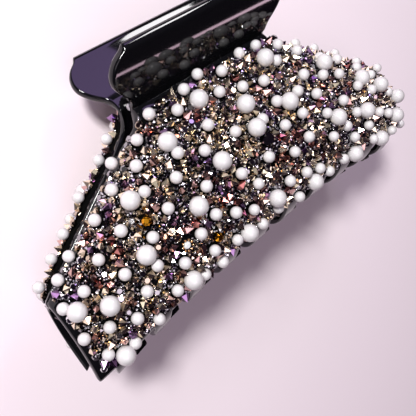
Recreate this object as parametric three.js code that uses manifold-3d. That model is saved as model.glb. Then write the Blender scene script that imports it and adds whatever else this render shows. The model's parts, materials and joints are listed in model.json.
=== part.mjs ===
// A jaw claw hair clip with a jewelled face, in millimetres.
// +X runs along the hinge pin, +Y towards the handles, +Z up. The clip lies closed on its back: the rear
// half is below, the front half above, and the two halves meet on the level seam plane of the hinge pin.
import * as THREE from 'three';
import { mergeVertices } from 'three/addons/utils/BufferGeometryUtils.js';
import Module from 'manifold-3d';

const wasm = await Module();
wasm.setup();

// ---- jaw moulding ----
const WALL = 2.2;
const JAW_HALF_LENGTH = 68;
const JAW_HEIGHT = 53;
const JAW_DEPTH = 18.5;
const END_DROP = 7;
const END_DROP_POWER = 3;
const TOOTH_DROP = 3;
const TOOTH_DROP_START = 0.6;
const END_TAPER_LENGTH = 72;
const END_TAPER_POWER = 2.6;
const SEAM_GAP = 0.3;
const TOOTH_CROSSING = 1.8;

// ---- waist and the two round notches beside it ----
const WAIST_HALF_WIDTH = 25;
const WAIST_RISE = 5.2;
const WAIST_BLEND = [21, 34];
const NOTCH_RADIUS = 6.7;
const SHOULDER_ANGLE = THREE.MathUtils.degToRad(33);
const EASING = 4;
const EASED_FROM = 0.35;

// ---- handle ----
const HANDLE_LENGTH = 17.8;
const HANDLE_ANGLES = [THREE.MathUtils.degToRad(42), THREE.MathUtils.degToRad(27)];
const HANDLE_CORNER = 7;
const CORNER_REACH = 0.97;
const HANDLE_HALF_WIDTH = 30.6;
const HANDLE_NECK = 5.3;
const END_SLANT = 1.75;

// ---- teeth ----
const TOOTH_PITCH = 13.3;
const TOOTH_WIDTH = 6.4;
const TOOTH_TIP_WIDTH = 4.2;
const TOOTH_ROOT = 0.76;

// ---- grid lines of the moulding: along the handle in mm, and as shares of the jaw's section ----
const HANDLE_LINES = [HANDLE_LENGTH, 17.2, 15.6, 13.2, 10.8, 8, HANDLE_NECK, 2.6];
const JAW_LINES = [0, 0.05, 0.12, 0.2, 0.3, 0.4, 0.5, 0.6, 0.68, TOOTH_ROOT];
const TOOTH_LINES = [0.84, 0.92, 1];
const NOTCH_LINES = [WAIST_HALF_WIDTH, WAIST_HALF_WIDTH + 1, WAIST_HALF_WIDTH + 4.2];
const LEAST_STATION_GAP = 0.4;

// ---- hinge ----
const PIN_RADIUS = 1.1;
const PIN_HALF_LENGTH = 23.8;
const PIN_CHAMFER = 0.3;
const BORE_RADIUS = 1.2;
const LUG_RADIUS = 2.7;
const LUG_THICKNESS = 3;
const LUG_ROOT_Z = 4;
const REAR_LUG_X = 21.5;
const FRONT_LUG_X = 18;

// ---- torsion spring ----
const WIRE_RADIUS = 0.5;
const COIL_RADIUS = 1.9;
const COIL_TURNS = 5;
const COIL_PITCH = 1.3;
const LEG_ANGLE = THREE.MathUtils.degToRad(26);
const LEG_LENGTH = 10;
const LEG_BEND = 1.6;

// ---- stone bed and pearls ----
const BED_GAP = 0.4;
const BED_THICKNESS = 1.6;
const BED_HALF_LENGTH = 65.5;
const BED_START = 0.11;
const BED_END = 0.73;
const BED_ROWS = 8;
const BED_END_STRIP = 1;
const PEARL_RADIUS = 2.5;
const PEARL_LIFT = 3.4;
const PEARL_CLEARANCE = 0.3;

// ---- fineness of the round shapes, and steps for measuring and joining surfaces ----
const PIN_SIDES = 20;
const BOSS_SEGMENTS = 12;
const WIRE_SEGMENTS = 4;
const WIRE_STEPS = 72;
const BALL_DETAIL = 1;
const NORMAL_STEP_X = 1.5;
const NORMAL_STEP_ALONG = 0.03;
const WELD_DISTANCE = 1e-4;

const plastic = new THREE.MeshStandardMaterial({ color: 0x0a0a0c, roughness: 0.12, metalness: 0 });
const steel = new THREE.MeshStandardMaterial({ color: 0xb9bcc2, roughness: 0.3, metalness: 1 });
const springSteel = new THREE.MeshStandardMaterial({ color: 0x8f9298, roughness: 0.35, metalness: 1 });
const stones = new THREE.MeshStandardMaterial({ color: 0x5a4c48, roughness: 0.3, metalness: 0.6 });
const pearl = new THREE.MeshStandardMaterial({ color: 0xf2efee, roughness: 0.25, metalness: 0 });

// ---------------------------------------------------------------------------------------------------
// The surface of one jaw, above the seam plane, with the hinge axis at y = 0, z = 0.
// ---------------------------------------------------------------------------------------------------

function smoothBetween(low, high, value) {
  return THREE.MathUtils.smoothstep(value, low, high);
}

// The upper outline: level along the waist, then round the notch, then down the straight shoulder.
function topEdge(x) {
  const beyond = Math.abs(x) - WAIST_HALF_WIDTH;
  if (beyond <= 0) return 0;
  const arcWidth = NOTCH_RADIUS * (1 - Math.sin(SHOULDER_ANGLE));
  if (beyond < arcWidth) return -Math.sqrt(NOTCH_RADIUS ** 2 - (NOTCH_RADIUS - beyond) ** 2);
  return -NOTCH_RADIUS * Math.cos(SHOULDER_ANGLE) - (beyond - arcWidth) * Math.tan(SHOULDER_ANGLE);
}

// The same edge with its corners eased, which the dome follows away from its rim.
function easedTopEdge(x) {
  const slope = Math.tan(SHOULDER_ANGLE);
  const arcWidth = NOTCH_RADIUS * (1 - Math.sin(SHOULDER_ANGLE));
  const lineStart = WAIST_HALF_WIDTH + arcWidth - NOTCH_RADIUS * Math.cos(SHOULDER_ANGLE) / slope;
  return -slope * EASING * Math.log1p(Math.exp((Math.abs(x) - lineStart) / EASING));
}

// The lower outline without the teeth's extra reach: almost straight, dropping at the jaw's two ends.
function bottomEdge(x) {
  return -JAW_HEIGHT - END_DROP * (Math.abs(x) / JAW_HALF_LENGTH) ** END_DROP_POWER;
}

function depthAt(x) {
  return JAW_DEPTH * Math.sqrt(1 - (Math.abs(x) / END_TAPER_LENGTH) ** END_TAPER_POWER);
}

// A point of the shell. along is 0 at the upper outline and 1 at the tooth tips; inset is 0 on the
// outer face and WALL on the inner face.
function shellPoint(x, along, inset) {
  const waist = 1 - smoothBetween(WAIST_BLEND[0], WAIST_BLEND[1], Math.abs(x));
  const eased = smoothBetween(0, EASED_FROM, along);
  const top = THREE.MathUtils.lerp(topEdge(x), easedTopEdge(x), eased) - inset * (1 - waist);
  const bottom = bottomEdge(x) + inset;
  const depth = depthAt(x) - inset;
  const rise = SEAM_GAP + (WAIST_RISE - SEAM_GAP - inset) * waist;
  const reach = TOOTH_DROP * smoothBetween(TOOTH_DROP_START, 1, along);
  const y = top - (top - bottom) * (1 - Math.cos(Math.PI * along)) / 2 - reach;
  const bulge = Math.sin(Math.PI * along);
  if (along > 0.5) return new THREE.Vector3(x, y, (depth + TOOTH_CROSSING) * bulge - TOOTH_CROSSING);
  const blend = (1 - waist) * bulge + waist * bulge * bulge;
  return new THREE.Vector3(x, y, rise + (depth - rise) * blend);
}

// The outward direction of the outer face, averaged over a few millimetres.
function shellNormal(x, along) {
  const acrossX = shellPoint(x + NORMAL_STEP_X, along, 0).sub(shellPoint(x - NORMAL_STEP_X, along, 0));
  const downSection = shellPoint(x, along + NORMAL_STEP_ALONG, 0)
    .sub(shellPoint(x, along - NORMAL_STEP_ALONG, 0));
  return downSection.cross(acrossX).normalize();
}

function aboveShell(x, along, height) {
  return shellPoint(x, along, 0).addScaledVector(shellNormal(x, along), height);
}

// The handle's side view is an arc that leaves the waist and levels off a little towards its free edge,
// which is cut flat, with the inner face running on past the outer one.
function handlePoint(distance, inset) {
  const [first, last] = HANDLE_ANGLES;
  const bend = (last - first) / HANDLE_LENGTH;
  const angle = first + bend * distance;
  const y = (Math.sin(angle) - Math.sin(first)) / bend;
  const z = WAIST_RISE - (Math.cos(angle) - Math.cos(first)) / bend;
  const slant = distance === HANDLE_LENGTH ? END_SLANT * inset / WALL : 0;
  return {
    y: y + inset * Math.sin(angle) + slant * Math.cos(angle),
    z: z - inset * Math.cos(angle) + slant * Math.sin(angle),
  };
}

// Half the handle's width: out of the notch, along the swelling side, and round the corner.
function handleHalfWidth(distance) {
  const notch = (reach) => WAIST_HALF_WIDTH + NOTCH_RADIUS - Math.sqrt(NOTCH_RADIUS ** 2 - reach ** 2);
  if (distance < HANDLE_NECK) return notch(distance);
  const cornerStart = HANDLE_LENGTH - HANDLE_CORNER;
  if (distance < cornerStart) {
    const share = (distance - HANDLE_NECK) / (cornerStart - HANDLE_NECK);
    return THREE.MathUtils.lerp(notch(HANDLE_NECK), HANDLE_HALF_WIDTH, Math.sin(share * Math.PI / 2));
  }
  const inCorner = Math.min(distance - cornerStart, HANDLE_CORNER * CORNER_REACH);
  return HANDLE_HALF_WIDTH - HANDLE_CORNER + Math.sqrt(HANDLE_CORNER ** 2 - inCorner ** 2);
}

// ---------------------------------------------------------------------------------------------------
// Building closed solids
// ---------------------------------------------------------------------------------------------------

// A plate over a grid of cells. outer(i, j) and inner(i, j) give the two faces' corner points, and only
// the cells that isSolid(i, j) keeps are made, with walls round every edge they leave open.
function plateGeometry(columns, rows, isSolid, outer, inner) {
  const positions = [];
  const indices = [];
  const numbers = new Map();
  const pointFor = (i, j, side) => {
    const key = `${i}.${j}.${side}`;
    if (!numbers.has(key)) {
      const point = side === 0 ? outer(i, j) : inner(i, j);
      numbers.set(key, positions.length / 3);
      positions.push(point.x, point.y, point.z);
    }
    return numbers.get(key);
  };
  const solid = (i, j) => i >= 0 && j >= 0 && i < columns && j < rows && isSolid(i, j);
  const quad = (a, b, c, d) => indices.push(a, b, c, a, c, d);
  const wall = (i1, j1, i2, j2) => {
    quad(pointFor(i1, j1, 0), pointFor(i1, j1, 1), pointFor(i2, j2, 1), pointFor(i2, j2, 0));
  };
  for (let i = 0; i < columns; i++) {
    for (let j = 0; j < rows; j++) {
      if (!solid(i, j)) continue;
      quad(pointFor(i, j, 0), pointFor(i, j + 1, 0), pointFor(i + 1, j + 1, 0), pointFor(i + 1, j, 0));
      quad(pointFor(i, j, 1), pointFor(i + 1, j, 1), pointFor(i + 1, j + 1, 1), pointFor(i, j + 1, 1));
      if (!solid(i - 1, j)) wall(i, j, i, j + 1);
      if (!solid(i + 1, j)) wall(i + 1, j + 1, i + 1, j);
      if (!solid(i, j - 1)) wall(i + 1, j, i, j);
      if (!solid(i, j + 1)) wall(i, j + 1, i + 1, j + 1);
    }
  }
  const geometry = new THREE.BufferGeometry();
  geometry.setAttribute('position', new THREE.Float32BufferAttribute(positions, 3));
  geometry.setIndex(indices);
  return geometry;
}

function toSolid(geometry) {
  const bare = geometry.clone();
  bare.deleteAttribute('normal');
  bare.deleteAttribute('uv');
  const merged = mergeVertices(bare, WELD_DISTANCE);
  return new wasm.Manifold(new wasm.Mesh({
    numProp: 3,
    vertProperties: new Float32Array(merged.attributes.position.array),
    triVerts: new Uint32Array(merged.index.array),
  }));
}

function toGeometry(solid) {
  const mesh = solid.getMesh();
  const geometry = new THREE.BufferGeometry();
  geometry.setAttribute('position', new THREE.BufferAttribute(new Float32Array(mesh.vertProperties), 3));
  geometry.setIndex(Array.from(mesh.triVerts));
  return geometry;
}

// ---------------------------------------------------------------------------------------------------
// Jaw moulding: handle, waist, dome and teeth as one plate, with two hinge lugs
// ---------------------------------------------------------------------------------------------------

// Stations along X: the edges and middle of every tooth of both halves, the notches, and the two ends.
function jawStations(toothCentres) {
  const stations = new Set([-JAW_HALF_LENGTH, JAW_HALF_LENGTH]);
  for (const centre of toothCentres) {
    for (const offset of [-TOOTH_WIDTH / 2, 0, TOOTH_WIDTH / 2]) {
      if (Math.abs(centre + offset) < JAW_HALF_LENGTH) stations.add(centre + offset);
    }
  }
  for (const x of NOTCH_LINES) {
    stations.add(x);
    stations.add(-x);
  }
  const sorted = [...stations].sort((a, b) => a - b);
  return sorted.filter((x, k) => k === 0 || x - sorted[k - 1] > LEAST_STATION_GAP);
}

function jawGeometry(toothCentres, lugX) {
  const stations = jawStations(toothCentres);
  const rows = [
    ...HANDLE_LINES.map((distance) => ({ distance })),
    ...JAW_LINES.map((along) => ({ along })),
    ...TOOTH_LINES.map((along) => ({ along, tooth: true })),
  ];

  const toothReach = TOOTH_WIDTH / 2 + WELD_DISTANCE;
  const toothAt = (x) => toothCentres.find((centre) => Math.abs(x - centre) <= toothReach);
  const place = (i, j, inset) => {
    const row = rows[j];
    let x = stations[i];
    if (row.distance !== undefined) {
      const { y, z } = handlePoint(row.distance, inset);
      return new THREE.Vector3(x * handleHalfWidth(row.distance) / WAIST_HALF_WIDTH, y, z);
    }
    const centre = toothAt(x);
    if (row.tooth && centre !== undefined) {
      const taper = (row.along - TOOTH_ROOT) / (1 - TOOTH_ROOT);
      x = centre + (x - centre) * THREE.MathUtils.lerp(1, TOOTH_TIP_WIDTH / TOOTH_WIDTH, taper);
    }
    return shellPoint(x, row.along, inset);
  };
  const isSolid = (i, j) => {
    const middle = (stations[i] + stations[i + 1]) / 2;
    const next = rows[j + 1];
    if (rows[j].distance !== undefined) return Math.abs(middle) < WAIST_HALF_WIDTH;
    return !next.tooth || toothAt(middle) !== undefined;
  };
  const plate = plateGeometry(stations.length - 1, rows.length - 1, isSolid,
    (i, j) => place(i, j, 0), (i, j) => place(i, j, WALL));

  let solid = toSolid(plate);
  for (const side of [-1, 1]) solid = solid.add(toSolid(lugGeometry(side * lugX)));
  return toGeometry(solid);
}

// One hinge lug: a web that hangs from the waist and ends round the pin in a bored boss.
function lugGeometry(centreX) {
  const outline = new THREE.Shape();
  outline.moveTo(-LUG_RADIUS, LUG_ROOT_Z);
  outline.lineTo(-LUG_RADIUS, 0);
  outline.absarc(0, 0, LUG_RADIUS, Math.PI, 2 * Math.PI, false);
  outline.lineTo(LUG_RADIUS, LUG_ROOT_Z);
  outline.closePath();
  const bore = new THREE.Path();
  bore.absarc(0, 0, BORE_RADIUS, 0, 2 * Math.PI, true);
  outline.holes.push(bore);
  const geometry = new THREE.ExtrudeGeometry(outline, {
    depth: LUG_THICKNESS, bevelEnabled: false, curveSegments: BOSS_SEGMENTS,
  });
  geometry.translate(0, 0, -LUG_THICKNESS / 2);
  geometry.applyMatrix4(new THREE.Matrix4().makeBasis(
    new THREE.Vector3(0, 1, 0), new THREE.Vector3(0, 0, 1), new THREE.Vector3(1, 0, 0)));
  geometry.translate(centreX, 0, 0);
  return geometry;
}

// ---------------------------------------------------------------------------------------------------
// Hinge pin and torsion spring
// ---------------------------------------------------------------------------------------------------

function pinGeometry() {
  const profile = [
    new THREE.Vector2(0, -PIN_HALF_LENGTH),
    new THREE.Vector2(PIN_RADIUS - PIN_CHAMFER, -PIN_HALF_LENGTH),
    new THREE.Vector2(PIN_RADIUS, -PIN_HALF_LENGTH + PIN_CHAMFER),
    new THREE.Vector2(PIN_RADIUS, PIN_HALF_LENGTH - PIN_CHAMFER),
    new THREE.Vector2(PIN_RADIUS - PIN_CHAMFER, PIN_HALF_LENGTH),
    new THREE.Vector2(0, PIN_HALF_LENGTH),
  ];
  return new THREE.LatheGeometry(profile, PIN_SIDES).rotateZ(-Math.PI / 2);
}

// The wire's centre line: the lower leg, the turns, and the upper leg. Each leg leaves the coil on its
// tangent and bends a little outwards at its end, to press on its handle.
class SpringLine extends THREE.Curve {
  getPoint(fraction, target = new THREE.Vector3()) {
    const sweep = 2 * Math.PI * (COIL_TURNS + 1) - 2 * (Math.PI / 2 + LEG_ANGLE);
    const coilLength = sweep * COIL_RADIUS;
    const halfWidth = COIL_PITCH * sweep / (4 * Math.PI);
    const distance = fraction * (coilLength + 2 * LEG_LENGTH) - LEG_LENGTH;
    if (distance >= 0 && distance <= coilLength) {
      const turn = distance / COIL_RADIUS;
      const angle = Math.PI / 2 + LEG_ANGLE + turn;
      const x = -halfWidth + COIL_PITCH * turn / (2 * Math.PI);
      return target.set(x, COIL_RADIUS * Math.cos(angle), COIL_RADIUS * Math.sin(angle));
    }
    const upper = distance < 0;
    const reach = upper ? -distance : distance - coilLength;
    const side = upper ? 1 : -1;
    const bend = LEG_BEND * (reach / LEG_LENGTH) ** 3;
    const y = -COIL_RADIUS * Math.sin(LEG_ANGLE) + reach * Math.cos(LEG_ANGLE) - bend * Math.sin(LEG_ANGLE);
    const z = COIL_RADIUS * Math.cos(LEG_ANGLE) + reach * Math.sin(LEG_ANGLE) + bend * Math.cos(LEG_ANGLE);
    return target.set(upper ? -halfWidth : halfWidth, y, side * z);
  }
}

function springGeometry() {
  const wire = new THREE.Shape().absarc(0, 0, WIRE_RADIUS, 0, 2 * Math.PI, false);
  return new THREE.ExtrudeGeometry(wire, {
    steps: WIRE_STEPS, bevelEnabled: false, curveSegments: WIRE_SEGMENTS, extrudePath: new SpringLine(),
  });
}

// ---------------------------------------------------------------------------------------------------
// Stone bed and the large pearls seated in it
// ---------------------------------------------------------------------------------------------------

// Where each large pearl sits: x along the jaw, and its share of the way from outline to tooth tips.
const PEARL_SEATS = [
  [-63, 0.3], [-60, 0.635], [-57, 0.405], [-44.5, 0.4], [-39.5, 0.24], [-37.5, 0.625],
  [-28, 0.45], [-24.5, 0.255], [-16.5, 0.415], [-16.5, 0.67], [-11, 0.225], [-4.5, 0.63], [-2.5, 0.4],
  [-1, 0.325], [11.5, 0.39], [12, 0.685], [14.5, 0.22], [26, 0.5], [32.5, 0.27], [32, 0.675],
  [40, 0.5], [45, 0.34], [47, 0.66], [54, 0.37], [58, 0.56], [63.5, 0.44],
];

function bedGeometry(toothCentres) {
  const inside = jawStations(toothCentres).filter((x) => Math.abs(x) < BED_HALF_LENGTH - BED_END_STRIP);
  const stations = [-BED_HALF_LENGTH, ...inside, BED_HALF_LENGTH];
  const columns = stations.length - 1;
  const at = (i, j, height) => {
    const x = stations[i];
    const along = THREE.MathUtils.lerp(BED_START, BED_END, j / BED_ROWS);
    return aboveShell(x, along, height);
  };
  const crust = plateGeometry(columns, BED_ROWS, () => true,
    (i, j) => at(i, j, BED_GAP + BED_THICKNESS), (i, j) => at(i, j, BED_GAP));
  let solid = toSolid(crust);
  for (const [x, along] of PEARL_SEATS) {
    const pocket = new THREE.IcosahedronGeometry(PEARL_RADIUS + PEARL_CLEARANCE, BALL_DETAIL);
    const centre = aboveShell(x, along, PEARL_LIFT);
    pocket.translate(centre.x, centre.y, centre.z);
    solid = solid.subtract(toSolid(pocket));
  }
  return toGeometry(solid);
}

// ---------------------------------------------------------------------------------------------------
// The clip
// ---------------------------------------------------------------------------------------------------

function piece(name, geometry, material) {
  const mesh = new THREE.Mesh(geometry, material);
  mesh.name = name;
  return mesh;
}

// One half with its stones. Its teeth stand in the gaps between the other half's.
function half(side, toothCentres, lugX) {
  const group = new THREE.Group();
  group.add(piece(`${side}_jaw`, jawGeometry(toothCentres, lugX), plastic));
  group.add(piece(`${side}_stone_bed`, bedGeometry(toothCentres), stones));
  PEARL_SEATS.forEach(([x, along], k) => {
    const number = String(k + 1).padStart(2, '0');
    const shape = new THREE.IcosahedronGeometry(PEARL_RADIUS, BALL_DETAIL);
    const ball = piece(`${side}_pearl_${number}`, shape, pearl);
    ball.position.copy(aboveShell(x, along, PEARL_LIFT));
    group.add(ball);
  });
  return group;
}

const rearTeeth = [-4, -3, -2, -1, 0, 1, 2, 3, 4].map((k) => k * TOOTH_PITCH);
const frontTeeth = [...rearTeeth, 5 * TOOTH_PITCH].map((x) => x - TOOTH_PITCH / 2);

const frontHalf = half('front', frontTeeth, FRONT_LUG_X);
const rearHalf = half('rear', rearTeeth, REAR_LUG_X);
rearHalf.scale.z = -1;

const clip = new THREE.Group();
clip.add(frontHalf, rearHalf);
clip.add(piece('hinge_pin', pinGeometry(), steel));
clip.add(piece('torsion_spring', springGeometry(), springSteel));

// The origin is the middle of the footprint, on the table.
const extent = new THREE.Box3().setFromObject(clip, true);
clip.position.set(0, -(extent.min.y + extent.max.y) / 2, -extent.min.z);

export default clip;
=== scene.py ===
import itertools
import json
import math
from collections import namedtuple

import bpy
import numpy as np
from mathutils import Matrix, Vector


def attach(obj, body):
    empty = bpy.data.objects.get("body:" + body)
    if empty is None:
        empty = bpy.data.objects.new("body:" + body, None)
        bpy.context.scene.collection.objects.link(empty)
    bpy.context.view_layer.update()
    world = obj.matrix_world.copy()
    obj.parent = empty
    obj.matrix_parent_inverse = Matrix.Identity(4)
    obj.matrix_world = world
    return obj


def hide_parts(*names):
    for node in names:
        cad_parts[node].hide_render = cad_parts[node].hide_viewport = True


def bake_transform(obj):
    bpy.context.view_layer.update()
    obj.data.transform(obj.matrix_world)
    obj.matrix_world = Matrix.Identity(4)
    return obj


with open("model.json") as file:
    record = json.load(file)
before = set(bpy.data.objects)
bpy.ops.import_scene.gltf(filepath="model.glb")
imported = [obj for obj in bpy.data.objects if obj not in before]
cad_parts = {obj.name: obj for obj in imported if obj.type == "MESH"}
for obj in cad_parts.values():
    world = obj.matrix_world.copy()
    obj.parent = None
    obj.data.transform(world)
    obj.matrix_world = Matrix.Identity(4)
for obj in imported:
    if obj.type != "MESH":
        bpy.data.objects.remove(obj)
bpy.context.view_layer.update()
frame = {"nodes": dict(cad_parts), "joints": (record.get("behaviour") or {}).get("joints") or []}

MM = 0.001
SEED = 7
HINGE = np.array(frame["joints"][0]["pos_m"])
HALVES = {"front": 1, "rear": -1}

# ---- camera ----
CAMERA_TARGET = Vector((HINGE + np.array([-20.18, -32.49, 10]) * MM).tolist())
CAMERA_DISTANCE = 0.1516
CAMERA_AZIMUTH = math.radians(-130.06)
CAMERA_ELEVATION = math.radians(53.51)
CAMERA_ROLL = math.radians(99.33)
CAMERA_LENS = 47.93
CAMERA_CLIP = (0.005, 20)

# ---- table and light, in metres, degrees and watts ----
TABLE_HALF_WIDTH = 0.6
TABLE_DROP = 0.0002
TABLE_COLOUR = (0.85, 0.755, 0.8)
TABLE_ROUGHNESS = 0.6
WORLD_COLOUR = (0.02, 0.013, 0.024)
SOFTBOXES = [
    {"name": "key", "azimuth": -150, "elevation": 42, "distance": 0.7,
     "width": 0.11, "height": 0.11, "turn": 0, "power": 6.5, "colour": (1, 0.99, 0.98)},
    {"name": "overhead", "azimuth": -70, "elevation": 68, "distance": 0.8,
     "width": 0.5, "height": 0.5, "turn": 0, "power": 1.9, "colour": (0.96, 0.84, 0.96)},
    {"name": "glare", "azimuth": 142, "elevation": 29.5, "distance": 0.7,
     "width": 0.1, "height": 0.1, "turn": 0, "power": 0.9, "colour": (1, 0.98, 1)},
    {"name": "violet", "azimuth": 158, "elevation": 25, "distance": 0.7,
     "width": 0.2, "height": 0.2, "turn": 0, "power": 0.42, "colour": (0.66, 0.45, 1)},
    {"name": "strip", "azimuth": 36.5, "elevation": 16.3, "distance": 0.9,
     "width": 0.42, "height": 0.022, "turn": -20, "power": 0.26, "colour": (1, 0.7, 0.85)},
]

# ---- jaw moulding ----
WALL = 2.2
JAW_HALF_LENGTH = 68
JAW_HEIGHT = 53
JAW_DEPTH = 18.5
SEAM_GAP = 0.3
# The lower edge drops towards the jaw's two ends, and the teeth drop a little more from their roots.
END_DROP = 7
END_DROP_POWER = 3
TOOTH_DROP = 3
TOOTH_DROP_START = 0.6
# The dome grows shallower towards the two ends.
END_TAPER_LENGTH = 72
END_TAPER_POWER = 2.6
END_TAPER_LIMIT = 0.999
# The waist keeps its own height above the seam, and gives way to the shoulders over WAIST_BLEND.
WAIST_HALF_WIDTH = 25
WAIST_RISE = 5.2
WAIST_BLEND = (21, 34)
NOTCH_RADIUS = 6.7
SHOULDER_ANGLE = math.radians(33)
# Down the dome the outline's corner is eased away: over this length, and wholly from this share down.
EASING = 4
EASED_FROM = 0.35

# ---- handle: its slope at the waist and at its end, its rounded corners and its slanted end face ----
HANDLE_LENGTH = 17.8
HANDLE_ANGLES = (math.radians(42), math.radians(27))
HANDLE_HALF_WIDTH = 30.6
HANDLE_NECK = 5.3
HANDLE_CORNER = 7
CORNER_REACH = 0.97
END_SLANT = 1.75

# ---- teeth: their tips cross the seam plane, and they part at TOOTH_ROOT of the jaw's section ----
TOOTH_PITCH = 13.3
TOOTH_WIDTH = 6.4
TOOTH_TIP_WIDTH = 4.2
TOOTH_ROOT = 0.76
TOOTH_CROSSING = 1.8
REAR_TEETH = [k * TOOTH_PITCH for k in range(-4, 5)]
FRONT_TEETH = [(k - 0.5) * TOOTH_PITCH for k in range(-4, 6)]
TEETH = {"front": FRONT_TEETH, "rear": REAR_TEETH}

# ---- steps for measuring the surface's slope ----
NORMAL_STEP_X = 1.5
NORMAL_STEP_ALONG = 0.03
SPEED_STEP_ALONG = 0.005

# ---- grid of the moulding ----
# Lines along the handle are in mm, and the others are shares of the jaw's section. They lie close
# together beside the edges, which keeps the rounding there small. RIM is how far from an edge across
# the jaw the next line lies.
RIM = 0.6
HANDLE_LINES = [
    HANDLE_LENGTH, 17.4, 16.6, 15.6, 14.4, 13.2, 12, 10.8, 9.6, 8.4, 7.2, 6.2,
    HANDLE_NECK, 4.2, 3.1, 2, 1,
]
JAW_LINES = [
    0, 0.02, 0.05, 0.08, 0.12, 0.17, 0.22, 0.28, 0.34, 0.4, 0.46, 0.5, 0.56, 0.62, 0.68, 0.735,
    TOOTH_ROOT,
]
TOOTH_LINES = [0.785, 0.83, 0.88, 0.93, 0.98, 1]
NOTCH_LINE_DEGREES = (0, 14, 26, 38, 50, 60)
NOTCH_ZONE = 4
LEAST_SPACING = {"notch": 0.12, "elsewhere": 0.35}

# A length that is next to nothing.
TINY = 1e-6

# ---- hinge ----
LUG_RADIUS = 2.7
LUG_THICKNESS = 3
LUG_ROOT_Z = 4
BORE_RADIUS = 1.2
LUG_X = {"front": 18, "rear": 21.5}
LUG_SEGMENTS = 40
LUG_EDGE = 0.3
LUG_EDGE_SEGMENTS = 2

# ---- torsion spring ----
WIRE_RADIUS = 0.5
COIL_RADIUS = 1.9
COIL_TURNS = 5
COIL_PITCH = 1.3
LEG_ANGLE = math.radians(26)
LEG_LENGTH = 10
LEG_BEND = 1.6
LEG_STEPS = 14
COIL_STEPS = 150
WIRE_SEGMENTS = 10

# ---- crust: it starts and ends at these shares of the jaw's section ----
BED_START = {"waist": 0.11, "shoulder": 0.07}
BED_END = {"middle": 0.715, "tips": 0.655}
BED_END_BLEND = (25, 60)
BED_HALF_LENGTH = 65.8

# ---- glue bed: a lumpy skin over a grid, about BED_SPAN wide, that thins out at its edges ----
BED_THICKNESS = 0.9
BED_COLUMNS = 110
BED_ROWS = 40
BED_SPAN = 40
BED_EDGE_HEIGHT = 0.05
BED_EDGE_WIDTH = 1.6
BED_SINK = 0.3
LUMP_HEIGHT = 0.12
LUMP_RATE_X = 2.9
LUMP_RATE_ALONG = 97

# ---- large pearls: their seats are x and the share of the section, matched to the photo in its view ----
PEARL_RADIUS = 2.5
PEARL_LIFT = 3.4
PEARL_FOOTPRINT = 1.7
PEARL_SEATS = [
    (-63, 0.3), (-60, 0.635), (-57, 0.405), (-44.5, 0.4), (-39.5, 0.24), (-37.5, 0.625),
    (-28, 0.45), (-24.5, 0.255), (-16.5, 0.415), (-16.5, 0.67), (-11, 0.225), (-4.5, 0.63), (-2.5, 0.4),
    (-1, 0.325), (11.5, 0.39), (12, 0.685), (14.5, 0.22), (26, 0.5), (32.5, 0.27), (32, 0.675),
    (40, 0.5), (45, 0.34), (47, 0.66), (54, 0.37), (58, 0.56), (63.5, 0.44),
]


# ------------------------------------------------------------------------------------------------
# The surface of one jaw
# ------------------------------------------------------------------------------------------------

def smooth(low, high, value):
    """0 up to low, 1 from high on, and an even S between."""
    share = np.clip((value - low) / (high - low), 0, 1)
    return share * share * (3 - 2 * share)


def mix(first, last, share):
    return first + (last - first) * share


def top_edge(x):
    """The upper outline: level along the waist, round the notch, then down the straight shoulder."""
    arc_width = NOTCH_RADIUS * (1 - math.sin(SHOULDER_ANGLE))
    beyond = np.maximum(np.abs(x) - WAIST_HALF_WIDTH, 0)
    in_arc = NOTCH_RADIUS - np.minimum(beyond, arc_width)
    arc = -np.sqrt(np.maximum(NOTCH_RADIUS ** 2 - in_arc ** 2, 0))
    line = -NOTCH_RADIUS * math.cos(SHOULDER_ANGLE) - (beyond - arc_width) * math.tan(SHOULDER_ANGLE)
    return np.where(beyond < arc_width, arc, line)


def eased_top_edge(x):
    """The same outline with the corner at the notch smoothed away, for further down the dome."""
    slope = math.tan(SHOULDER_ANGLE)
    arc_width = NOTCH_RADIUS * (1 - math.sin(SHOULDER_ANGLE))
    line_start = WAIST_HALF_WIDTH + arc_width - NOTCH_RADIUS * math.cos(SHOULDER_ANGLE) / slope
    return -slope * EASING * np.logaddexp(0, (np.abs(x) - line_start) / EASING)


def shell_point(x, along, inset):
    """A point of the shell: along is 0 at the upper outline and 1 at the tooth tips."""
    x, along = np.broadcast_arrays(np.asarray(x, float), np.asarray(along, float))
    waist = 1 - smooth(WAIST_BLEND[0], WAIST_BLEND[1], np.abs(x))
    top = mix(top_edge(x), eased_top_edge(x), smooth(0, EASED_FROM, along)) - inset * (1 - waist)
    bottom = -JAW_HEIGHT - END_DROP * (np.abs(x) / JAW_HALF_LENGTH) ** END_DROP_POWER + inset
    taper = np.minimum(np.abs(x) / END_TAPER_LENGTH, END_TAPER_LIMIT) ** END_TAPER_POWER
    depth = JAW_DEPTH * np.sqrt(1 - taper) - inset
    rise = SEAM_GAP + (WAIST_RISE - SEAM_GAP - inset) * waist
    reach = TOOTH_DROP * smooth(TOOTH_DROP_START, 1, along)
    y = top - (top - bottom) * (1 - np.cos(np.pi * along)) / 2 - reach
    bulge = np.sin(np.pi * along)
    lower = (depth + TOOTH_CROSSING) * bulge - TOOTH_CROSSING
    upper = rise + (depth - rise) * ((1 - waist) * bulge + waist * bulge * bulge)
    return np.stack([x, y, np.where(along > 0.5, lower, upper)], -1)


def shell_normal(x, along):
    """The outward direction, from steps wide enough to pass over the small corners."""
    across = shell_point(x + NORMAL_STEP_X, along, 0) - shell_point(x - NORMAL_STEP_X, along, 0)
    down = shell_point(x, along + NORMAL_STEP_ALONG, 0) - shell_point(x, along - NORMAL_STEP_ALONG, 0)
    normal = np.cross(down, across)
    return normal / np.linalg.norm(normal, axis=-1, keepdims=True)


def above_shell(x, along, height):
    """Points at these heights straight out from the shell."""
    return shell_point(x, along, 0) + shell_normal(x, along) * np.asarray(height)[..., None]


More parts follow.
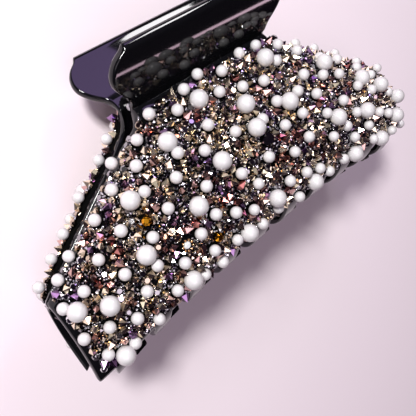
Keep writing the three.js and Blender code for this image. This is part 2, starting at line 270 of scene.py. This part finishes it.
def handle_point(distance, inset):
    """y and z of the handle, which curves evenly from its first angle to its last."""
    first, last = HANDLE_ANGLES
    bend = (last - first) / HANDLE_LENGTH
    angle = first + bend * distance
    slant = END_SLANT * inset / WALL if distance == HANDLE_LENGTH else 0
    y = (math.sin(angle) - math.sin(first)) / bend + inset * math.sin(angle) + slant * math.cos(angle)
    z = WAIST_RISE - (math.cos(angle) - math.cos(first)) / bend
    return y, z - inset * math.cos(angle) + slant * math.sin(angle)


def handle_half_width(distance):
    """Half the handle's width: out of the notch, along the swelling side, and round the corner."""
    def notch(reach):
        return WAIST_HALF_WIDTH + NOTCH_RADIUS - math.sqrt(NOTCH_RADIUS ** 2 - reach ** 2)
    corner_start = HANDLE_LENGTH - HANDLE_CORNER
    if distance < HANDLE_NECK:
        return notch(distance)
    if distance < corner_start:
        share = (distance - HANDLE_NECK) / (corner_start - HANDLE_NECK)
        return mix(notch(HANDLE_NECK), HANDLE_HALF_WIDTH, math.sin(share * math.pi / 2))
    in_corner = min(distance - corner_start, HANDLE_CORNER * CORNER_REACH)
    return HANDLE_HALF_WIDTH - HANDLE_CORNER + math.sqrt(HANDLE_CORNER ** 2 - in_corner ** 2)


# ------------------------------------------------------------------------------------------------
# Meshes
# ------------------------------------------------------------------------------------------------

def to_frame(points, side=1):
    """Points of the hinge's frame, in mm, as points of the row frame, in metres."""
    return np.asarray(points, float).reshape(-1, 3) * [1, 1, side] * MM + HINGE


def make_object(name, points, faces, material, flip=False, smooth_shaded=True):
    mesh = bpy.data.meshes.new(name)
    mesh.from_pydata(points.tolist(), [], [list(f)[::-1] if flip else list(f) for f in faces])
    mesh.materials.append(material)
    if smooth_shaded:
        mesh.shade_smooth()
    else:
        mesh.shade_flat()
    made = bpy.data.objects.new(name, mesh)
    bpy.context.scene.collection.objects.link(made)
    return made


def plate(columns, rows, is_solid, outer, inner):
    """Points and faces of a closed plate over a grid of cells, with walls round the open edges."""
    points, numbers, faces = [], {}, []

    def number(i, j, side):
        key = (i, j, side)
        if key not in numbers:
            numbers[key] = len(points)
            points.append((inner if side else outer)(i, j))
        return numbers[key]

    def solid(i, j):
        return 0 <= i < columns and 0 <= j < rows and is_solid(i, j)

    def wall(i1, j1, i2, j2):
        faces.append((number(i1, j1, 0), number(i1, j1, 1), number(i2, j2, 1), number(i2, j2, 0)))

    for i in range(columns):
        for j in range(rows):
            if not solid(i, j):
                continue
            corners = ((i, j), (i, j + 1), (i + 1, j + 1), (i + 1, j))
            faces.append(tuple(number(*corner, 0) for corner in corners))
            faces.append(tuple(number(*corner, 1) for corner in (corners[0], *corners[:0:-1])))
            if not solid(i - 1, j):
                wall(i, j, i, j + 1)
            if not solid(i + 1, j):
                wall(i + 1, j + 1, i + 1, j)
            if not solid(i, j - 1):
                wall(i + 1, j, i, j)
            if not solid(i, j + 1):
                wall(i, j + 1, i + 1, j + 1)
    return np.array(points), faces


def jaw_stations(teeth):
    """Stations along x: tooth edges with a line inside and outside each, the notches and the ends."""
    stations = {-JAW_HALF_LENGTH, -JAW_HALF_LENGTH + RIM, JAW_HALF_LENGTH - RIM, JAW_HALF_LENGTH}
    half_tooth = TOOTH_WIDTH / 2
    for centre in teeth:
        for offset in (half_tooth, half_tooth - RIM, half_tooth + RIM, TOOTH_PITCH / 2, half_tooth / 3):
            stations |= {centre - offset, centre + offset}
    arc = [NOTCH_RADIUS * (1 - math.cos(math.radians(angle))) for angle in NOTCH_LINE_DEGREES]
    for side in (-1, 1):
        stations |= {side * (WAIST_HALF_WIDTH + beyond) for beyond in arc}
        stations.add(side * (WAIST_HALF_WIDTH - RIM))
    kept = []
    for x in sorted(x for x in stations if abs(x) <= JAW_HALF_LENGTH):
        near_notch = abs(abs(x) - WAIST_HALF_WIDTH) < NOTCH_ZONE
        spacing = LEAST_SPACING["notch" if near_notch else "elsewhere"]
        if not kept or x - kept[-1] > spacing:
            kept.append(x)
    return kept


def jaw(side_name, material):
    """One moulding: handle, waist, dome and teeth, rounded at its edges, with its two hinge lugs."""
    side, teeth = HALVES[side_name], TEETH[side_name]
    stations = jaw_stations(teeth)
    rows = [("handle", distance) for distance in HANDLE_LINES]
    rows += [("jaw", along) for along in JAW_LINES]
    rows += [("tooth", along) for along in TOOTH_LINES]

    def tooth_at(x):
        return next((centre for centre in teeth if abs(x - centre) <= TOOTH_WIDTH / 2 + TINY), None)

    def place(i, j, inset):
        kind, value = rows[j]
        x = stations[i]
        if kind == "handle":
            y, z = handle_point(value, inset)
            return x * handle_half_width(value) / WAIST_HALF_WIDTH, y, z
        centre = tooth_at(x)
        if kind == "tooth" and centre is not None:
            taper = (value - TOOTH_ROOT) / (1 - TOOTH_ROOT)
            x = centre + (x - centre) * mix(1, TOOTH_TIP_WIDTH / TOOTH_WIDTH, taper)
        return tuple(shell_point(x, value, inset))

    def is_solid(i, j):
        middle = (stations[i] + stations[i + 1]) / 2
        if rows[j][0] == "handle":
            return abs(middle) < WAIST_HALF_WIDTH
        return rows[j + 1][0] != "tooth" or tooth_at(middle) is not None

    points, faces = plate(
        len(stations) - 1, len(rows) - 1, is_solid,
        lambda i, j: place(i, j, 0), lambda i, j: place(i, j, WALL))
    shell = make_object(
        f"{side_name}_jaw_moulding", to_frame(points, side), faces, material, flip=side < 0)
    rounding = shell.modifiers.new("rounding", "SUBSURF")
    rounding.levels = rounding.render_levels = 1
    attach(shell, f"{side_name}_half")
    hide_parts(f"{side_name}_jaw")
    for k, x in enumerate((-LUG_X[side_name], LUG_X[side_name])):
        lug = hinge_lug(f"{side_name}_hinge_lug_{k + 1}", x, side, material)
        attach(lug, f"{side_name}_half")


def hinge_lug(name, centre_x, side, material):
    """A web that hangs from the waist and ends round the pin in a bored boss."""
    steps = LUG_SEGMENTS
    outline, bore = [], []
    for k in range(steps):
        angle = 2 * math.pi * k / steps
        cosine, sine = math.cos(angle), math.sin(angle)
        reach = LUG_RADIUS
        if sine > 0:
            reach = min(LUG_RADIUS / max(abs(cosine), TINY), LUG_ROOT_Z / sine)
        outline.append((reach * cosine, reach * sine))
        bore.append((BORE_RADIUS * cosine, BORE_RADIUS * sine))
    points, faces = [], []
    for x in (centre_x - LUG_THICKNESS / 2, centre_x + LUG_THICKNESS / 2):
        points += [(x, y, z) for y, z in outline] + [(x, y, z) for y, z in bore]
    for a in range(steps):
        b = (a + 1) % steps
        faces.append((a, b, b + steps, a + steps))
        faces.append((a + 2 * steps, a + 3 * steps, b + 3 * steps, b + 2 * steps))
        faces.append((a, a + 2 * steps, b + 2 * steps, b))
        faces.append((a + steps, b + steps, b + 3 * steps, a + 3 * steps))
    lug = make_object(name, to_frame(points, side), faces, material, flip=side > 0, smooth_shaded=False)
    bevel = lug.modifiers.new("rounding", "BEVEL")
    bevel.width = LUG_EDGE * MM
    bevel.segments = LUG_EDGE_SEGMENTS
    bevel.limit_method = "ANGLE"
    return lug


def spring_leg(half_width, side, reaches):
    """Points of the leg on one half, at these distances from the coil, bending away from the handle."""
    sine, cosine = math.sin(LEG_ANGLE), math.cos(LEG_ANGLE)
    points = []
    for reach in reaches:
        bend = LEG_BEND * (reach / LEG_LENGTH) ** 3
        y = -COIL_RADIUS * sine + reach * cosine - bend * sine
        z = COIL_RADIUS * cosine + reach * sine + bend * cosine
        points.append((-side * half_width, y, side * z))
    return points


def tube(line, radius, sides, normal):
    """Points and faces of a closed round tube along a line."""
    tangents = np.gradient(line, axis=0)
    tangents /= np.linalg.norm(tangents, axis=1, keepdims=True)
    points, faces = [], []
    for centre, tangent in zip(line, tangents):
        normal = normal - tangent * (normal @ tangent)
        normal /= np.linalg.norm(normal)
        other = np.cross(tangent, normal)
        for k in range(sides):
            angle = 2 * math.pi * k / sides
            points.append(centre + radius * (normal * math.cos(angle) + other * math.sin(angle)))
    for i in range(len(line) - 1):
        here, there = i * sides, (i + 1) * sides
        for k in range(sides):
            n = (k + 1) % sides
            faces.append((here + k, here + n, there + n, there + k))
    last = (len(line) - 1) * sides
    faces.append(tuple(range(sides))[::-1])
    faces.append(tuple(range(last, last + sides)))
    return points, faces


def spring(material):
    """The wire runs down the front handle, turns round the pin, and ends on the rear handle."""
    sweep = 2 * math.pi * (COIL_TURNS + 1) - 2 * (math.pi / 2 + LEG_ANGLE)
    half_width = COIL_PITCH * sweep / (4 * math.pi)
    coil = []
    for turn in np.linspace(0, sweep, COIL_STEPS)[1:-1]:
        angle = math.pi / 2 + LEG_ANGLE + turn
        x = -half_width + COIL_PITCH * turn / (2 * math.pi)
        coil.append((x, COIL_RADIUS * math.cos(angle), COIL_RADIUS * math.sin(angle)))
    front_leg = spring_leg(half_width, HALVES["front"], np.linspace(LEG_LENGTH, 0, LEG_STEPS))
    rear_leg = spring_leg(half_width, HALVES["rear"], np.linspace(0, LEG_LENGTH, LEG_STEPS))
    line = np.array(front_leg + coil + rear_leg)
    points, faces = tube(line, WIRE_RADIUS, WIRE_SEGMENTS, np.array([1.0, 0, 0]))
    wire = make_object("spring_wire", to_frame(points), faces, material)
    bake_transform(wire)
    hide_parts("torsion_spring")


# ------------------------------------------------------------------------------------------------
# Stone shapes, one unit in radius, with +z pointing out of the crust
# ------------------------------------------------------------------------------------------------

# Radius and height of each ring of corners, and the places of the single corners.
POINTED_FOOT = (0.8, -0.9)
POINTED_RIM = (1, 0)
POINTED_TIP = (0, 0, 1.45)
CUT_TABLE = (0.56, 0.52)
CUT_CROWN = (0.84, 0.3)
CUT_RIM = (1, 0.02)
CUT_RIM_FOOT = (1, -0.12)
CUT_FOOT = (0.5, -0.8)
CHIP_RIM = (1, 0.1)
CHIP_TIP = (0.25, -0.1, 0.95)
CHIP_FOOT = (0, 0, -0.8)
CHIP_SIDES = 4
RING_BEAD_HEIGHT = 0.25
RING_BEAD_RADIUS = 0.26


def ring(count, radius, z, turn=0.0):
    angles = turn + 2 * np.pi * np.arange(count) / count
    return np.stack([radius * np.cos(angles), radius * np.sin(angles), np.full(count, float(z))], -1)


def pointed_stone(sides):
    """A point-back stone set upside down: a low drum under a faceted point."""
    points = np.concatenate([ring(sides, *POINTED_FOOT), ring(sides, *POINTED_RIM), [POINTED_TIP]])
    apex = 2 * sides
    faces = [tuple(range(sides))[::-1]]
    for k in range(sides):
        n = (k + 1) % sides
        faces.append((k, n, sides + n, sides + k))
        faces.append((sides + k, sides + n, apex))
    return points, faces


def cut_stone(sides):
    """A brilliant: flat table, two rows of crown facets, girdle and a blunt underside."""
    half_turn = np.pi / sides
    points = np.concatenate([
        ring(sides, *CUT_TABLE), ring(sides, *CUT_CROWN, half_turn), ring(sides, *CUT_RIM),
        ring(sides, *CUT_RIM_FOOT), ring(sides, *CUT_FOOT)])
    faces = [tuple(range(sides)), tuple(range(4 * sides, 5 * sides))[::-1]]
    for k in range(sides):
        n = (k + 1) % sides
        table, table_next = k, n
        crown = sides + k
        crown_before = sides + (k - 1) % sides
        rim, rim_next = 2 * sides + k, 2 * sides + n
        low, low_next = 3 * sides + k, 3 * sides + n
        base, base_next = 4 * sides + k, 4 * sides + n
        faces.append((table, crown, table_next))
        faces.append((table, crown_before, rim, crown))
        faces.append((rim, rim_next, crown))
        faces.append((rim, low, low_next, rim_next))
        faces.append((low, base, base_next, low_next))
    return points, faces


def chip():
    """A small crystal: an uneven double pyramid."""
    points = np.concatenate([ring(CHIP_SIDES, *CHIP_RIM), [CHIP_TIP], [CHIP_FOOT]])
    tip, foot = CHIP_SIDES, CHIP_SIDES + 1
    faces = []
    for k in range(CHIP_SIDES):
        n = (k + 1) % CHIP_SIDES
        faces.append((k, n, tip))
        faces.append((n, k, foot))
    return points, faces


def bead_ring(count):
    """Small beads side by side round a stone."""
    bead, triangles = ball(level=1)
    centres = ring(count, 1, RING_BEAD_HEIGHT)
    points = (centres[:, None, :] + bead[None] * RING_BEAD_RADIUS).reshape(-1, 3)
    faces = [
        tuple(corner + k * len(bead) for corner in triangle)
        for k in range(count) for triangle in triangles]
    return points, faces


def ball(level):
    """An octahedron divided level times and blown up to a sphere."""
    axes = np.eye(3)
    points = [sign * axis for axis in axes for sign in (1, -1)]
    faces = [(0, 2, 4), (2, 1, 4), (1, 3, 4), (3, 0, 4), (2, 0, 5), (1, 2, 5), (3, 1, 5), (0, 3, 5)]
    for _ in range(level):
        middles, finer = {}, []

        def middle(a, b):
            key = (min(a, b), max(a, b))
            if key not in middles:
                between = points[a] + points[b]
                middles[key] = len(points)
                points.append(between / np.linalg.norm(between))
            return middles[key]

        for a, b, c in faces:
            ab, bc, ca = middle(a, b), middle(b, c), middle(c, a)
            finer += [(a, ab, ca), (ab, b, bc), (ca, bc, c), (ab, bc, ca)]
        faces = finer
    return np.array(points), faces


# ------------------------------------------------------------------------------------------------
# Setting the stones
# ------------------------------------------------------------------------------------------------

def bed_start(x):
    """Where the crust begins: further down along the waist than on the shoulders."""
    shoulder = smooth(WAIST_BLEND[0], WAIST_BLEND[1], np.abs(x))
    return mix(BED_START["waist"], BED_START["shoulder"], shoulder)


def bed_end(x):
    """Where the crust ends: a little above the teeth, and higher up near the jaw's two ends."""
    return mix(BED_END["middle"], BED_END["tips"], smooth(BED_END_BLEND[0], BED_END_BLEND[1], np.abs(x)))


class Crust:
    """What is set on one jaw so far, so that each new stone finds a free place.

    The feet of the stones are kept in cubic cells, so that only near ones are compared.
    """

    CELL = 3.0

    def __init__(self, rng):
        self.rng = rng
        self.cells = {}

    def cell_of(self, foot):
        return tuple(np.floor(foot / self.CELL).astype(int))

    def is_free(self, foot, radius):
        nearby = [(n - 1, n, n + 1) for n in self.cell_of(foot)]
        for cell in itertools.product(*nearby):
            for other, other_radius in self.cells.get(cell, ()):
                apart = foot - other
                if apart @ apart < (radius + other_radius) ** 2:
                    return False
        return True

    def take(self, foot, radius):
        self.cells.setdefault(self.cell_of(foot), []).append((foot, radius))

    def throw(self, count, radius, tries, spacing=0.0):
        """Up to count free places, as x and along, for stones of that footprint and spacing.

        Places where along runs faster over the surface are kept more often, so the crust is even.
        """
        x = self.rng.uniform(-BED_HALF_LENGTH, BED_HALF_LENGTH, tries)
        along = mix(bed_start(x), bed_end(x), self.rng.uniform(0, 1, tries))
        ahead = shell_point(x, along + SPEED_STEP_ALONG, 0)
        behind = shell_point(x, along - SPEED_STEP_ALONG, 0)
        speed = np.linalg.norm(ahead - behind, axis=1)
        keep = self.rng.uniform(0, speed.max(), tries) < speed
        x, along = x[keep], along[keep]
        feet = shell_point(x, along, 0)
        found, taken = [], []
        for k, foot in enumerate(feet):
            aparts = [foot - other for other in taken] if spacing else []
            if any(apart @ apart < spacing * spacing for apart in aparts):
                continue
            if self.is_free(foot, radius):
                taken.append(foot)
                self.take(foot, radius)
                found.append((x[k], along[k]))
                if len(found) == count:
                    break
        return np.array(found)


def turned_frames(normals, rng, lean):
    """For each normal, a rotation that takes +z near it, off by about lean, with a random turn."""
    leaning = normals + rng.normal(0, lean, normals.shape)
    z = leaning / np.linalg.norm(leaning, axis=1, keepdims=True)
    sideways = rng.normal(0, 1, normals.shape)
    x = np.cross(sideways, z)
    x /= np.linalg.norm(x, axis=1, keepdims=True)
    return np.stack([x, np.cross(z, x), z], -1)


def set_stones(
        name, side_name, shape, places, lifts, radii, rng, lean, material, smooth_shaded):
    """One mesh of many copies of a shape, each at its place on the jaw, riding that half."""
    points, faces = shape
    side = HALVES[side_name]
    x, along = places[:, 0], places[:, 1]
    centres = above_shell(x, along, lifts)
    frames = turned_frames(shell_normal(x, along), rng, lean)
    all_points = np.einsum("nij,kj->nki", frames, points) * radii[:, None, None] + centres[:, None, :]
    all_faces = [
        tuple(corner + n * len(points) for corner in face)
        for n in range(len(places)) for face in faces]
    made = make_object(
        f"{side_name}_{name}", to_frame(all_points, side), all_faces, material,
        flip=side < 0, smooth_shaded=smooth_shaded)
    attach(made, f"{side_name}_half")
    return made


def bed(side_name, material):
    """The glue layer: a thin dark skin over the jaw's outer face, thinning out at its edges."""
    side = HALVES[side_name]
    xs = np.linspace(-BED_HALF_LENGTH, BED_HALF_LENGTH, BED_COLUMNS + 1)
    grid_x, shares = np.meshgrid(xs, np.linspace(0, 1, BED_ROWS + 1), indexing="ij")
    grid_along = mix(bed_start(grid_x), bed_end(grid_x), shares)
    margin = np.minimum(
        np.minimum(shares, 1 - shares) * BED_SPAN,
        BED_HALF_LENGTH - np.abs(grid_x))
    lumps = LUMP_HEIGHT * np.sin(grid_x * LUMP_RATE_X) * np.sin(grid_along * LUMP_RATE_ALONG)
    height = BED_EDGE_HEIGHT + (BED_THICKNESS + lumps) * smooth(0, BED_EDGE_WIDTH, margin)
    top = above_shell(grid_x.ravel(), grid_along.ravel(), height.ravel())
    under = above_shell(grid_x.ravel(), grid_along.ravel(), np.full(top.shape[0], -BED_SINK))
    points, faces = plate(
        BED_COLUMNS, BED_ROWS, lambda i, j: True,
        lambda i, j: top[i * (BED_ROWS + 1) + j], lambda i, j: under[i * (BED_ROWS + 1) + j])
    made = make_object(f"{side_name}_glue_bed", to_frame(points, side), faces, material, flip=side < 0)
    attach(made, f"{side_name}_half")
    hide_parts(f"{side_name}_stone_bed")


# ------------------------------------------------------------------------------------------------
# Materials
# ------------------------------------------------------------------------------------------------

def finish(name, colour, roughness, metallic=0.0, **sockets):
    """A plain material; further sockets are named with _ for each space."""
    material = bpy.data.materials.new(name)
    material.use_nodes = True
    shader = material.node_tree.nodes["Principled BSDF"]
    shader.inputs["Base Color"].default_value = (*colour, 1)
    shader.inputs["Roughness"].default_value = roughness
    shader.inputs["Metallic"].default_value = metallic
    for socket, value in sockets.items():
        shader.inputs[socket.replace("_", " ")].default_value = value
    return material


def paint_rim_shade(material, facing, shaded_rim, blend):
    """Painted shade: the base colour runs from one tint, seen face on, to a darker one at the rim."""
    nodes, links = material.node_tree.nodes, material.node_tree.links
    angle = nodes.new("ShaderNodeLayerWeight")
    angle.inputs["Blend"].default_value = blend
    tint = nodes.new("ShaderNodeMix")
    tint.data_type = "RGBA"
    tint.inputs["A"].default_value = (*facing, 1)
    tint.inputs["B"].default_value = (*shaded_rim, 1)
    links.new(angle.outputs["Facing"], tint.inputs["Factor"])
    links.new(tint.outputs["Result"], nodes["Principled BSDF"].inputs["Base Color"])


# The pearls' base colour is paler face on and greyer towards the rim: painted shade at the pearls' rims.
PEARL_FACING = (0.65, 0.64, 0.645)
PEARL_PAINTED_RIM_SHADE = (0.42, 0.385, 0.38)
PEARL_BLEND = 0.35
FINISHES = {
    "black_plastic": finish("black_plastic", (0.004, 0.004, 0.005), 0.05, Specular_IOR_Level=0.36),
    "glue": finish("glue", (0.003, 0.003, 0.003), 0.6, Specular_IOR_Level=0.0),
    "pearl": finish("pearl", PEARL_FACING, 0.38, Coat_Weight=0.9, Coat_Roughness=0.22),
    "steel": finish("steel", (0.62, 0.63, 0.65), 0.28, metallic=1.0),
    "spring_steel": finish("spring_steel", (0.5, 0.51, 0.54), 0.33, metallic=1.0),
    "champagne": finish("champagne", (0.95, 0.82, 0.62), 0.17, metallic=1.0),
    "rose_gold": finish("rose_gold", (0.6, 0.38, 0.34), 0.17, metallic=1.0),
    "brick": finish("brick", (0.42, 0.17, 0.15), 0.17, metallic=1.0),
    "violet": finish("violet", (0.3, 0.18, 0.34), 0.17, metallic=1.0),
    "smoke": finish("smoke", (0.32, 0.31, 0.32), 0.05, metallic=1.0),
    "brown": finish("brown", (0.5, 0.41, 0.31), 0.06, metallic=1.0),
    "clear": finish("clear", (0.8, 0.8, 0.82), 0.05, metallic=1.0),
    "opal": finish("opal", (0.72, 0.75, 0.76), 0.12),
    "amber": finish("amber", (0.78, 0.34, 0.02), 0.12, metallic=1.0),
    "gold": finish("gold", (0.9, 0.55, 0.25), 0.15, metallic=1.0),
    "bead_silver": finish("bead_silver", (0.62, 0.62, 0.66), 0.16, metallic=1.0),
    "bead_dark": finish("bead_dark", (0.12, 0.12, 0.13), 0.16, metallic=1.0),
}
# Paint shade into the pearls' base colour, darker towards their rims.
paint_rim_shade(FINISHES["pearl"], PEARL_FACING, PEARL_PAINTED_RIM_SHADE, PEARL_BLEND)


# ------------------------------------------------------------------------------------------------
# The clip
# ------------------------------------------------------------------------------------------------

# A kind of stone: how many at most, its mean radius, the footprint radius that it keeps free, the lift
# of its middle above the shell, how far it leans, and how many random places are tried for each stone.
Kind = namedtuple("Kind", "name shape count radius footprint lift lean finish slot smooth tries")

SIZE_SPREAD = 0.14
LIFT_SPREAD = 0.2
SMALL_PEARLS = Kind(
    name="small_pearls", shape=ball(level=3), count=120, radius=1.62, footprint=1.6, lift=2.4, lean=0.1,
    finish="pearl", slot="pearl", smooth=True, tries=200)
SMALL_PEARL_SPACING = 6.2
SMALL_PEARL_SPREAD = 0.03

POINTED = {
    "shape": pointed_stone(sides=5), "radius": 1.15, "footprint": 0.9, "lift": 1.5, "lean": 0.4,
    "slot": "gold_stone", "smooth": False, "tries": 60}
CUT = {
    "shape": cut_stone(sides=8), "radius": 1.1, "footprint": 0.8, "lift": 1.5, "lean": 0.22,
    "slot": "dark_stone", "smooth": False, "tries": 60}
CHIPS = {
    "shape": chip(), "radius": 0.58, "footprint": 0.36, "lift": 1.4, "lean": 0.6,
    "slot": "dark_stone", "smooth": False, "tries": 30}
BEADS = {
    "shape": ball(level=1), "footprint": 0.22, "lean": 0.1,
    "slot": "metal_bead", "smooth": True, "tries": 12}
POINTED_COUNTS = {"champagne": 310, "rose_gold": 100, "brick": 30, "violet": 50}
CUT_COUNTS = {"smoke": 150, "brown": 160, "clear": 130}
CHIP_COUNTS = {"clear": 650, "smoke": 600, "champagne": 550, "brown": 350}


def kinds_of_stone():
    """The kinds in the order they are set, from the largest footprint to the smallest."""
    families = (
        ("pointed", POINTED, POINTED_COUNTS), ("cut", CUT, CUT_COUNTS), ("chips", CHIPS, CHIP_COUNTS))
    kinds = []
    for family_name, family, counts in families:
        for colour, count in counts.items():
            kinds.append(Kind(name=f"{family_name}_{colour}", finish=colour, count=count, **family))
    kinds.append(Kind(
        name="beads_silver", finish="bead_silver", count=2200, radius=0.33, lift=1.4, **BEADS))
    kinds.append(Kind(
        name="beads_dark", finish="bead_dark", count=1500, radius=0.36, lift=1.2, **BEADS))
    return kinds


# ---- the few stones that stand out: name, x, along, sides, radius, finish ----
RINGED_STONE = (-35, 0.51)
SPECIAL_STONES = [
    ("amber_stone_1", -40, 0.33, 8, 1.25, "amber"),
    ("amber_stone_2", -26, 0.595, 8, 1.35, "amber"),
    ("ringed_clear_stone", *RINGED_STONE, 8, 1.05, "opal"),
    ("square_dark_stone", -0.5, 0.45, 4, 2.1, "smoke"),
]
SPECIAL_LIFT = 2.3
SPECIAL_LEAN = 0.08
SPECIAL_FOOTPRINT = 0.9
PRONG_COUNT = 9
PRONG_RING_RADIUS = 1.45
PRONG_LEAN = 0.02
RINGED_FOOTPRINT = 1.9


def large_pearls(side_name, field):
    """Each large pearl is a piece of its own, in place of the CAD's faceted one."""
    side = HALVES[side_name]
    points, faces = ball(level=4)
    seats = np.array(PEARL_SEATS)
    for foot in shell_point(seats[:, 0], seats[:, 1], 0):
        field.take(foot, PEARL_FOOTPRINT)
    centres = above_shell(seats[:, 0], seats[:, 1], np.full(len(seats), PEARL_LIFT))
    for k, centre in enumerate(centres):
        placed = to_frame(centre + points * PEARL_RADIUS, side)
        pearl = make_object(
            f"{side_name}_round_pearl_{k + 1:02d}", placed, faces, FINISHES["pearl"], flip=side < 0)
        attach(pearl, f"{side_name}_half")
        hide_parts(f"{side_name}_pearl_{k + 1:02d}")


def special_stones(side_name, field, rng):
    """The few stones with a place of their own, and the beads round the ringed one."""
    lifts = np.array([SPECIAL_LIFT])
    for name, x, along, sides, radius, colour in SPECIAL_STONES:
        field.take(shell_point(x, along, 0), radius * SPECIAL_FOOTPRINT)
        set_stones(
            name, side_name, cut_stone(sides), np.array([(x, along)]), lifts, np.array([radius]), rng,
            SPECIAL_LEAN, FINISHES[colour], False)
    field.take(shell_point(*RINGED_STONE, 0), RINGED_FOOTPRINT)
    set_stones(
        "gold_prongs", side_name, bead_ring(PRONG_COUNT), np.array([RINGED_STONE]), lifts,
        np.array([PRONG_RING_RADIUS]), rng, PRONG_LEAN, FINISHES["gold"], True)


def scattered(kind, side_name, field, rng, spread=SIZE_SPREAD, spacing=0.0):
    """As many stones of one kind as find a free place, up to the kind's count."""
    places = field.throw(kind.count, kind.footprint, kind.count * kind.tries, spacing)
    radii = kind.radius * rng.uniform(1 - spread, 1 + spread, len(places))
    lifts = kind.lift * rng.uniform(1 - LIFT_SPREAD, 1 + LIFT_SPREAD, len(places))
    set_stones(
        kind.name, side_name, kind.shape, places, lifts, radii, rng, kind.lean, FINISHES[kind.finish],
        kind.smooth)


def crust(side_name, rng):
    """The glue bed and all that is set in it, the largest first."""
    field = Crust(rng)
    bed(side_name, FINISHES["glue"])
    large_pearls(side_name, field)
    special_stones(side_name, field, rng)
    scattered(SMALL_PEARLS, side_name, field, rng, SMALL_PEARL_SPREAD, SMALL_PEARL_SPACING)
    for kind in kinds_of_stone():
        scattered(kind, side_name, field, rng)


for number, side_name in enumerate(HALVES):
    jaw(side_name, FINISHES["black_plastic"])
    crust(side_name, np.random.default_rng(SEED + number))
spring(FINISHES["spring_steel"])
pin = frame["nodes"]["hinge_pin"]
pin.material_slots[0].material = FINISHES["steel"]


# ------------------------------------------------------------------------------------------------
# Camera, table and light
# ------------------------------------------------------------------------------------------------

def direction(azimuth, elevation):
    """From the object towards an azimuth and elevation; azimuth 0 is -Y and 90 degrees is +X."""
    return Vector((
        math.sin(azimuth) * math.cos(elevation),
        -math.cos(azimuth) * math.cos(elevation),
        math.sin(elevation)))


def facing(back, roll):
    """The rotation of a camera or lamp whose back points that way, turned by roll about its view."""
    upright = back.to_track_quat("Z", "Y").to_matrix().to_4x4()
    return (upright @ Matrix.Rotation(roll, 4, "Z")).to_euler()


camera = bpy.data.objects.new("camera", bpy.data.cameras.new("camera"))
bpy.context.scene.collection.objects.link(camera)
back = direction(CAMERA_AZIMUTH, CAMERA_ELEVATION)
camera.location = CAMERA_TARGET + back * CAMERA_DISTANCE
camera.rotation_euler = facing(back, CAMERA_ROLL)
camera.data.lens = CAMERA_LENS
camera.data.clip_start, camera.data.clip_end = CAMERA_CLIP
bpy.context.scene.camera = camera

table_corners = np.array([(-1, -1, 0), (1, -1, 0), (1, 1, 0), (-1, 1, 0)])
table = make_object(
    "table", table_corners * TABLE_HALF_WIDTH - [0, 0, TABLE_DROP], [(0, 1, 2, 3)],
    finish("table", TABLE_COLOUR, TABLE_ROUGHNESS))


def softbox(name, azimuth, elevation, distance, width, height, turn, power, colour):
    """A rectangular lamp that faces the camera's target: degrees, metres and watts."""
    light = bpy.data.lights.new(name, "AREA")
    light.shape = "RECTANGLE"
    light.size = width
    light.size_y = height
    light.energy = power
    light.color = colour
    lamp = bpy.data.objects.new(name, light)
    bpy.context.scene.collection.objects.link(lamp)
    towards = direction(math.radians(azimuth), math.radians(elevation))
    lamp.location = CAMERA_TARGET + towards * distance
    lamp.rotation_euler = facing(towards, math.radians(turn))


for box in SOFTBOXES:
    softbox(**box)
bpy.context.scene.view_settings.view_transform = "Standard"

world = bpy.data.worlds.new("world")
world.use_nodes = True
world.node_tree.nodes["Background"].inputs["Color"].default_value = (*WORLD_COLOUR, 1)
bpy.context.scene.world = world
